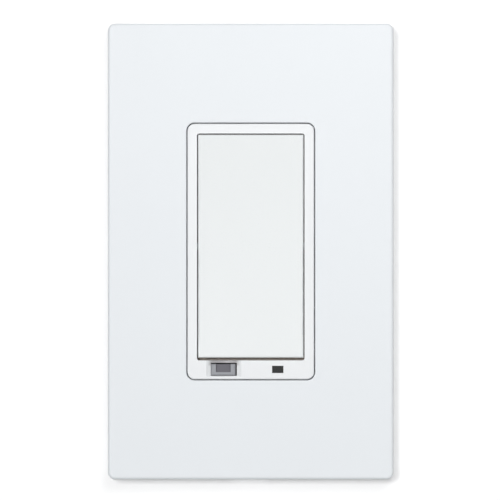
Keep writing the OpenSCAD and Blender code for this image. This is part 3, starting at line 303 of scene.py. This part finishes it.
# Terminals: stamped brass plates on the power board, nickel-plated clamps that draw
# the wire against them. Rolled sheet shows fine lines along its length and dull patches.
rolled_metal, given, made = new_group(
    "rolled_metal",
    [("Place", "Vector", None), ("Colour", "Color", (0.8, 0.8, 0.8, 1)), ("Tarnish", "Float", 0.1),
     ("Gloss", "Float", 0.3), ("Lines", "Float", 0.000004)],
    [("Colour", "Color"), ("Roughness", "Float"), ("Height", "Float")])
patch = noise(rolled_metal, given.outputs["Place"], scale=160, detail=4)
lines = noise(rolled_metal, given.outputs["Place"], scale=2600, detail=2, rough=0.6)
patchy = sum_up(rolled_metal, "SUBTRACT", patch, 0.5)
lined = sum_up(rolled_metal, "SUBTRACT", lines, 0.5)
shade = sum_up(rolled_metal, "MULTIPLY_ADD", patchy, given.outputs["Tarnish"], 1.0)
shade = sum_up(rolled_metal, "MULTIPLY_ADD", lined, 0.10, shade)
rolled_metal.links.new(tint(rolled_metal, given.outputs["Colour"], shade), made.inputs["Colour"])
dull = sum_up(rolled_metal, "MULTIPLY_ADD", patchy, given.outputs["Tarnish"], given.outputs["Gloss"])
rolled_metal.links.new(sum_up(rolled_metal, "MULTIPLY_ADD", lined, 0.12, dull), made.inputs["Roughness"])
rolled_metal.links.new(sum_up(rolled_metal, "MULTIPLY", lines, given.outputs["Lines"]), made.inputs["Height"])


def metal(name, colour, gloss=0.32, tarnish=0.12, lines=0.000003, stretch=(1, 1, 1), **more):
    settings = {"Colour": (*colour, 1), "Gloss": gloss, "Tarnish": tarnish, "Lines": lines}
    return finish_from(name, rolled_metal, settings, metallic=1.0, stretch=stretch, **more)


terminal_brass = metal("terminal_brass", (0.80, 0.60, 0.27), gloss=0.30, tarnish=0.20,
                       stretch=(1, 1, 0.08))
dress(terminal_brass, "line_terminal", "load_terminal", "neutral_terminal", "traveler_terminal")
dress(metal("clamp_nickel", (0.66, 0.65, 0.62), gloss=0.34, tarnish=0.15, stretch=(1, 0.08, 1)),
      "line_clamp", "load_clamp", "neutral_clamp", "traveler_clamp")

# Power board: fibreglass laminate with a green solder mask over its copper, and its
# parts: triac, ferrite choke, capacitors, varistor, fuse and rectifier.
masked_board, given, made = new_group(
    "masked_board", [("Place", "Vector", None), ("Colour", "Color", (0.02, 0.15, 0.06, 1))],
    [("Colour", "Color"), ("Roughness", "Float"), ("Height", "Float")])
brick = masked_board.nodes.new("ShaderNodeTexBrick")
brick.inputs["Scale"].default_value = 260
brick.inputs["Mortar Size"].default_value = 0.028
brick.inputs["Color1"].default_value = (1, 1, 1, 1)
brick.inputs["Color2"].default_value = (0.72, 0.72, 0.72, 1)
brick.inputs["Mortar"].default_value = (0.4, 0.4, 0.4, 1)
flat_place = masked_board.nodes.new("ShaderNodeMapping")
flat_place.inputs["Rotation"].default_value = (radians(90), 0, 0)
masked_board.links.new(given.outputs["Place"], flat_place.inputs["Vector"])
masked_board.links.new(flat_place.outputs[0], brick.inputs["Vector"])
weave = noise(masked_board, given.outputs["Place"], scale=900, detail=2)
fibres = sum_up(masked_board, "MULTIPLY", weave, 0.5)
copper = sum_up(masked_board, "MULTIPLY_ADD", brick.outputs["Color"], 0.75, fibres)
masked_board.links.new(tint(masked_board, given.outputs["Colour"], copper), made.inputs["Colour"])
masked_board.links.new(sum_up(masked_board, "MULTIPLY_ADD", weave, 0.2, 0.22), made.inputs["Roughness"])
masked_board.links.new(sum_up(masked_board, "MULTIPLY", copper, 0.00003), made.inputs["Height"])
dress(finish_from("board_laminate", masked_board, {"Colour": (0.018, 0.15, 0.055, 1)}),
      "power_board", "control_board")
black_moulding = plastic("black_moulding", (0.018, 0.018, 0.020), gloss=0.45, cloud=0.3,
                         grain=0.00001)
dress(black_moulding, "triac", "bridge_rectifier", "controller_chip", "board_connector",
      "upper_switch_body", "lower_switch_body")
dress(plastic("film_box", (0.62, 0.45, 0.05), gloss=0.30, cloud=0.08, grain=0.000006), "film_capacitor")
dress(plastic("shrink_sleeve", (0.022, 0.03, 0.11), gloss=0.28, cloud=0.15, grain=0.000004),
      "electrolytic_capacitor")
dress(plastic("dipped_epoxy", (0.03, 0.12, 0.42), gloss=0.25, cloud=0.2, grain=0.00002), "varistor")
dress(plastic("fuse_ceramic", (0.55, 0.43, 0.27), gloss=0.4, cloud=0.1), "fuse")
dress(plastic("ferrite", (0.055, 0.052, 0.055), gloss=0.62, cloud=0.3, grain=0.00003), "choke_core")
dress(metal("enamelled_copper", (0.66, 0.26, 0.08), gloss=0.22, tarnish=0.2, coat=0.6), "choke_winding")
dress(metal("contact_bronze", (0.78, 0.52, 0.30), gloss=0.28, tarnish=0.15),
      "line_contact", "feed_contact", "airgap_bridge")

# Control board's parts: shielded radio module, plated antenna spring, status light,
# push switches with nylon plungers and steel springs, under a sheet of fish paper.
dress(metal("tinned_shield", (0.70, 0.70, 0.68), gloss=0.30, tarnish=0.25, stretch=(1, 1, 0.1)),
      "radio_module")
dress(metal("gold_plating", (0.86, 0.66, 0.30), gloss=0.18, tarnish=0.1), "antenna")
dress(metal("spring_steel", (0.60, 0.60, 0.60), gloss=0.25, tarnish=0.1), "upper_spring", "lower_spring")
dress(plastic("clear_resin", (0.80, 0.78, 0.62), gloss=0.15, cloud=0.05, grain=0.0,
              Transmission_Weight=0.4), "status_led")
dress(plastic("fish_paper", (0.50, 0.41, 0.26), gloss=0.75, cloud=0.15, grain=0.00004), "insulator_sheet")
dress(plastic("filled_silicone", (0.42, 0.45, 0.52), gloss=0.6, cloud=0.1, grain=0.00002), "thermal_pad")
nylon = plastic("natural_nylon", (0.78, 0.77, 0.72), gloss=0.42, cloud=0.05, grain=0.000008)
dress(nylon, "upper_plunger", "lower_plunger", "screw_retainer_upper", "screw_retainer_lower")

# Strap: one sheet of aluminium, rolled, punched and left bare. It carries the triac's
# heat away, and its ears take the screws.
dress(metal("strap_aluminium", (0.58, 0.59, 0.61), gloss=0.34, tarnish=0.22, lines=0.000008,
            stretch=(0.05, 1, 1)), "strap")


# Screws: turned steel with rolled threads and a combined cross and slot in the head.
# Each kind is modelled whole, head and thread, and stands for its plain CAD solids.
def only(obj):
    """Selects this object alone."""
    bpy.ops.object.select_all(action="DESELECT")
    obj.select_set(True)
    bpy.context.view_layer.objects.active = obj


def apply_all(obj):
    only(obj)
    for m in list(obj.modifiers):
        bpy.ops.object.modifier_apply(modifier=m.name)


def thread(name, r, pitch, length, tip):
    """A thread down the z axis from z = 0, with a lead-in cone at its end."""
    bpy.ops.object.select_all(action="DESELECT")
    bpy.ops.mesh.primitive_plane_add(size=pitch)
    rod = bpy.context.object
    rod.name = name
    root = r - 0.61 * pitch
    bpy.ops.object.mode_set(mode="EDIT")
    bpy.ops.mesh.select_all(action="SELECT")
    bpy.ops.mesh.subdivide(number_cuts=1)
    bm = bmesh.from_edit_mesh(rod.data)
    bmesh.ops.delete(bm, geom=[v for v in bm.verts if v.co.x < pitch * 0.25], context="VERTS")
    bmesh.ops.delete(bm, geom=list(bm.faces), context="FACES_ONLY")
    ends = sorted(bm.verts, key=lambda v: v.co.y)
    outline = [(root, 0), (r, pitch * 0.44), (root, pitch)]
    for v, (x, z) in zip(ends, outline):
        v.co = (x, 0, z)
    bmesh.update_edit_mesh(rod.data)
    bpy.ops.mesh.select_all(action="DESELECT")
    bm = bmesh.from_edit_mesh(rod.data)
    max(bm.verts, key=lambda v: v.co.x).select = True
    bmesh.update_edit_mesh(rod.data)
    bpy.ops.mesh.bevel(offset=pitch * 0.09, affect="VERTICES")
    bpy.ops.object.mode_set(mode="OBJECT")
    turn = rod.modifiers.new("turns", "SCREW")
    turn.axis = "Z"
    turn.angle = 2 * pi
    turn.screw_offset = pitch
    turn.iterations = max(2, int((length - tip) / pitch) - 1)
    turn.steps = turn.render_steps = 28
    turn.use_merge_vertices = True
    turn.merge_threshold = pitch * 0.02
    apply_all(rod)
    bpy.ops.object.mode_set(mode="EDIT")
    bpy.ops.mesh.select_all(action="SELECT")
    bpy.ops.mesh.remove_doubles(threshold=pitch * 0.02)
    bpy.ops.mesh.select_non_manifold()
    bpy.ops.mesh.fill_holes(sides=0)
    bpy.ops.mesh.select_all(action="SELECT")
    bpy.ops.mesh.quads_convert_to_tris()
    bpy.ops.mesh.normals_make_consistent(inside=False)
    bpy.ops.object.mode_set(mode="OBJECT")
    top = max(v.co.z for v in rod.data.vertices)
    for v in rod.data.vertices:
        v.co.z -= top
    bottom = min(v.co.z for v in rod.data.vertices)
    bpy.ops.object.select_all(action="DESELECT")
    bpy.ops.mesh.primitive_cone_add(vertices=40, radius1=root * 0.72, radius2=root,
                                    depth=length + bottom + pitch,
                                    location=(0, 0, (-length + bottom + pitch) / 2))
    lead = bpy.context.object
    bpy.ops.object.transform_apply(location=True, rotation=True, scale=True)
    bpy.ops.object.mode_set(mode="EDIT")
    bpy.ops.mesh.select_all(action="SELECT")
    bpy.ops.mesh.bevel(offset=root * 0.12, segments=2, affect="EDGES")
    bpy.ops.object.mode_set(mode="OBJECT")
    only(rod)
    lead.select_set(True)
    bpy.ops.object.join()
    return rod


def head(name, r, h, slot_w, flat=False):
    """A head standing on z = 0, domed and washer-faced, or countersunk, with its drive cut in."""
    bpy.ops.object.select_all(action="DESELECT")
    if flat:
        bpy.ops.mesh.primitive_cone_add(vertices=64, radius1=r * 0.58, radius2=r, depth=h,
                                        location=(0, 0, h / 2))
    else:
        bpy.ops.mesh.primitive_cylinder_add(vertices=64, radius=r, depth=h, location=(0, 0, h / 2))
    top = bpy.context.object
    top.name = name
    bpy.ops.object.transform_apply(location=True, rotation=True, scale=True)
    bpy.ops.object.mode_set(mode="EDIT")
    bpy.ops.mesh.select_all(action="DESELECT")
    bm = bmesh.from_edit_mesh(top.data)
    for e in bm.edges:
        e.select = all(v.co.z > h * 0.9 for v in e.verts)
    bm.select_flush_mode()
    bmesh.update_edit_mesh(top.data)
    if flat:
        bpy.ops.mesh.bevel(offset=h * 0.06, segments=2, affect="EDGES")
    else:
        bpy.ops.mesh.bevel(offset=h * 0.42, segments=7, profile=0.5, affect="EDGES")
    bpy.ops.object.mode_set(mode="OBJECT")
    cuts = []
    for size in ((2.4 * r, slot_w, h), (slot_w * 0.92, 1.15 * r, h * 1.3),
                 (1.15 * r, slot_w * 0.92, h * 1.3)):
        bpy.ops.object.select_all(action="DESELECT")
        bpy.ops.mesh.primitive_cube_add(size=1, location=(0, 0, h * 1.05))
        blade = bpy.context.object
        blade.scale = size
        bpy.ops.object.transform_apply(location=True, rotation=True, scale=True)
        cuts.append(blade)
    for blade in cuts:
        cut = top.modifiers.new("drive", "BOOLEAN")
        cut.operation = "DIFFERENCE"
        cut.solver = "EXACT"
        cut.object = blade
    apply_all(top)
    for blade in cuts:
        bpy.data.objects.remove(blade, do_unlink=True)
    return top


def lay(piece, at, turn):
    """Turns a piece that was made down the z axis and puts it in its place, in its mesh."""
    piece.rotation_euler = turn
    piece.location = at
    only(piece)
    bpy.ops.object.transform_apply(location=True, rotation=True, scale=True)
    bpy.ops.object.shade_smooth_by_angle(angle=radians(35))


outwards = (radians(90), 0, 0)
inwards = (radians(-90), 0, 0)
rightwards = (0, radians(90), 0)
leftwards = (0, radians(-90), 0)


def turned_screw(name, head_r, head_h, slot_w, r, pitch, length, plain=0.0, flat=False):
    """One screw, its head's underside at the origin and its thread down the z axis."""
    piece = thread(name, r, pitch, length - plain, r * 0.9)
    for v in piece.data.vertices:
        v.co.z -= plain
    parts = [head(name + "_head", head_r, head_h, slot_w, flat)]
    if plain:
        bpy.ops.object.select_all(action="DESELECT")
        bpy.ops.mesh.primitive_cylinder_add(vertices=40, radius=r - 0.00025, depth=plain + 0.0004,
                                            location=(0, 0, -plain / 2))
        neck = bpy.context.object
        bpy.ops.object.transform_apply(location=True, rotation=True, scale=True)
        bpy.ops.object.mode_set(mode="EDIT")
        bpy.ops.mesh.select_all(action="SELECT")
        bpy.ops.mesh.bevel(offset=0.0001, segments=1, affect="EDGES")
        bpy.ops.object.mode_set(mode="OBJECT")
        parts.append(neck)
    only(piece)
    for p in parts:
        p.select_set(True)
    bpy.ops.object.join()
    return piece


def drive_in(screw, *seats):
    """Puts the screw in its first seat and a copy with its own mesh in each other seat."""
    pieces = [screw]
    for seat in seats[1:]:
        only(screw)
        bpy.ops.object.duplicate(linked=False)
        pieces.append(bpy.context.object)
    for piece, (node, slot, paint, at, turn) in zip(pieces, seats):
        piece.name = node + "_turned"
        lay(piece, at, turn)
        piece.data.materials.clear()
        piece.data.materials.append(paint)
        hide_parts(node)
        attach(piece, "device")


zinc = metal("zinc_plating", (0.70, 0.71, 0.72), gloss=0.28, tarnish=0.14)
dress(zinc, "triac_screw")

# Box screws: the two long ones that hold the switch in the wall box. They are zinc-plated
# steel with a plain neck, and hang in the strap's oblong slots by their nylon retainers.
drive_in(turned_screw("box_screw", head_r=0.0031, head_h=0.0021, slot_w=0.0009, r=0.00175,
                      pitch=0.0008, length=0.0254, plain=0.00185),
         ("mounting_screw_upper", "zinc", zinc, (0, -0.0019, 0.04167), outwards),
         ("mounting_screw_lower", "zinc", zinc, (0, -0.0019, -0.04167), outwards))

# Sub-plate screws: short and countersunk, enamelled white, driven through the sub-plate
# into the strap's threaded holes.
white_screw = plastic("white_enamel", (0.84, 0.85, 0.85), gloss=0.25, cloud=0.03, grain=0.000004,
                      coat=0.3)
drive_in(turned_screw("flat_screw", head_r=0.0030, head_h=0.0015, slot_w=0.0007, r=0.00175,
                      pitch=0.0008, length=0.0065, flat=True),
         ("plate_screw_upper", "white_screw", white_screw, (0, -0.0017, 0.04841), outwards),
         ("plate_screw_lower", "white_screw", white_screw, (0, -0.0017, -0.04841), outwards))

# Housing screws: four thin ones driven from behind, through the cover and the housing's
# corners into the strap. They hold the whole switch together.
drive_in(turned_screw("long_screw", head_r=0.0025, head_h=0.0015, slot_w=0.0007, r=0.00142,
                      pitch=0.00064, length=0.0304),
         ("case_screw_1", "zinc", zinc, (-0.0182, 0.02912, 0.0294), inwards),
         ("case_screw_2", "zinc", zinc, (0.0182, 0.02912, 0.0294), inwards),
         ("case_screw_3", "zinc", zinc, (-0.0182, 0.02912, -0.0294), inwards),
         ("case_screw_4", "zinc", zinc, (0.0182, 0.02912, -0.0294), inwards))

# Ground screw: dyed green, as the rules ask, in the strap's bent tongue. The bare
# earth wire goes round it under the head.
green_screw = metal("green_dye", (0.035, 0.33, 0.10), gloss=0.30, tarnish=0.15)
drive_in(turned_screw("earth_screw", head_r=0.0030, head_h=0.0022, slot_w=0.0009, r=0.00175,
                      pitch=0.0008, length=0.0060),
         ("ground_screw", "green_screw", green_screw, (-0.01502, 0.0052, -0.0378), leftwards))

# Terminal screws: one in each side recess, black oxide for the line, bright for the
# neutral and brass for load and traveler, each in its clamp and terminal plate.
black_screw = metal("black_oxide", (0.045, 0.046, 0.05), gloss=0.34, tarnish=0.2)
brass_screw = metal("brass_screw", (0.82, 0.62, 0.28), gloss=0.26, tarnish=0.15)
drive_in(turned_screw("binding_screw", head_r=0.0036, head_h=0.0022, slot_w=0.0010, r=0.00205,
                      pitch=0.0008, length=0.0066),
         ("line_screw", "black_screw", black_screw, (0.0196, 0.0218, 0.014), rightwards),
         ("load_screw", "brass", brass_screw, (0.0196, 0.0218, -0.014), rightwards),
         ("neutral_screw", "clamp_steel", zinc, (-0.0196, 0.0218, 0.014), leftwards),
         ("traveler_screw", "brass", brass_screw, (-0.0196, 0.0218, -0.014), leftwards))

# Sub-plate: plain white moulding behind the cover, screwed to the strap's ears. The
# cover clips on its rim, and its skin is duller, as nobody sees it.
dress(plastic("sub_plate_plastic", (0.80, 0.80, 0.78), gloss=0.45, cloud=0.03, grain=0.00001), "sub_plate")

# Frame round the paddle: satin white plastic, moulded with the well for the paddle and a hollow round the
# tab. The well's inner walls are tinted warmer and darker, and the hollow's floor grey, as painted shade.
frame_plastic = plastic("frame_plastic", (0.852, 0.868, 0.880), gloss=0.36, cloud=0.012,
                        grain=0.000003)
t = frame_plastic.node_tree
where = t.nodes.new("ShaderNodeSeparateXYZ")
t.links.new(t.nodes["Texture Coordinate"].outputs["Object"], where.inputs[0])


def fade(t, value, start, end):
    """0 at start, 1 at end, eased."""
    n = t.nodes.new("ShaderNodeMapRange")
    n.interpolation_type = "SMOOTHSTEP"
    n.inputs["From Min"].default_value = start
    n.inputs["From Max"].default_value = end
    t.links.new(value, n.inputs["Value"])
    return n.outputs["Result"]


def blend(t, mask, colour, other):
    """A colour where the mask is 0 that becomes the other where it is 1."""
    n = t.nodes.new("ShaderNodeMix")
    n.data_type = "RGBA"
    t.links.new(mask, n.inputs[0])
    t.links.new(colour, n.inputs[6])
    n.inputs[7].default_value = (*other, 1)
    return n.outputs[2]


tab_middle = (-0.00716, -0.030805)
well_painted_shade_mask = fade(t, where.outputs["Y"], start=-0.0055, end=-0.0046)
sunk = fade(t, where.outputs["Y"], start=-0.0067, end=-0.0060)
over_tab = fade(t, where.outputs["Z"], start=-0.0300, end=-0.0293)
beside_tab = sum_up(t, "ABSOLUTE", sum_up(t, "SUBTRACT", where.outputs["X"], tab_middle[0]), 0)
near_tab = fade(t, beside_tab, start=0.0048, end=0.0040)
on_floor = sum_up(t, "MULTIPLY", sunk, sum_up(t, "SUBTRACT", 1, well_painted_shade_mask))
hollow_painted_shade_mask = sum_up(t, "MULTIPLY", sum_up(t, "MULTIPLY", on_floor, over_tab), near_tab)
# Painted shade: the walls below the front turn warm and darker, and the hollow's floor over the tab turns
# grey.
with_well_painted_shade = blend(t, well_painted_shade_mask, t.nodes["Group"].outputs["Colour"], (0.78, 0.69, 0.62))
with_hollow_painted_shade = blend(t, hollow_painted_shade_mask, with_well_painted_shade, (0.46, 0.45, 0.46))
t.links.new(with_hollow_painted_shade, t.nodes["Principled BSDF"].inputs["Base Color"])
dress(frame_plastic, "bezel")

# Status light: a window of smoked clear plastic with a polished face, pressed into the
# frame from behind. It looks nearly black while the light is off.
dress(plastic("smoked_lens", (0.010, 0.012, 0.011), gloss=0.16, cloud=0.05, grain=0.0), "led_lens")

# Air-gap tab: smoke-grey polycarbonate, moulded with a notch for a fingernail. The notch is left matt by the
# tool, and its darker, more violet colour is painted shade.
notch_size = (0.0038, 0.0021)
tab_plastic = plastic("tab_plastic", (0.30, 0.31, 0.335), gloss=0.30, cloud=0.04, grain=0.000003)
t = tab_plastic.node_tree
where = t.nodes.new("ShaderNodeSeparateXYZ")
t.links.new(t.nodes["Texture Coordinate"].outputs["Object"], where.inputs[0])
across = sum_up(t, "ABSOLUTE", sum_up(t, "SUBTRACT", where.outputs["X"], tab_middle[0]), 0)
beside = sum_up(t, "LESS_THAN", across, notch_size[0] / 2 + 0.00002)
tab_top = tab_middle[1] + 0.001475
above = sum_up(t, "GREATER_THAN", where.outputs["Z"], tab_top - notch_size[1])
notch_painted_shade_and_matt = sum_up(t, "MULTIPLY", beside, above)
# The notch's dark colour is painted shade; its higher roughness is the matt finish.
notch_painted_shade_mix = t.nodes.new("ShaderNodeMix")
notch_painted_shade_mix.data_type = "RGBA"
t.links.new(notch_painted_shade_and_matt, notch_painted_shade_mix.inputs[0])
t.links.new(t.nodes["Group"].outputs["Colour"], notch_painted_shade_mix.inputs[6])
notch_painted_shade_mix.inputs[7].default_value = (0.125, 0.122, 0.142, 1)
t.links.new(notch_painted_shade_mix.outputs[2], t.nodes["Principled BSDF"].inputs["Base Color"])
t.links.new(sum_up(t, "MULTIPLY_ADD", notch_painted_shade_and_matt, 0.3, t.nodes["Group"].outputs["Roughness"]),
            t.nodes["Principled BSDF"].inputs["Roughness"])
dress(tab_plastic, "airgap_tab")

# Paddle: the touched part, one hollow moulding in satin white, smoother than the rest.
# It rocks on two pins in the frame.
dress(plastic("paddle_plastic", (0.845, 0.870, 0.872), gloss=0.30, cloud=0.010, grain=0.000002), "paddle")

# Cover plate: clip-on polycarbonate without screws, a slightly cooler white than the
# switch, with a fine satin skin and softly rounded edges.
dress(plastic("cover_plate_plastic", (0.850, 0.880, 0.905), gloss=0.36, cloud=0.010,
              grain=0.000003, Specular_IOR_Level=0.3),
      "wall_plate")
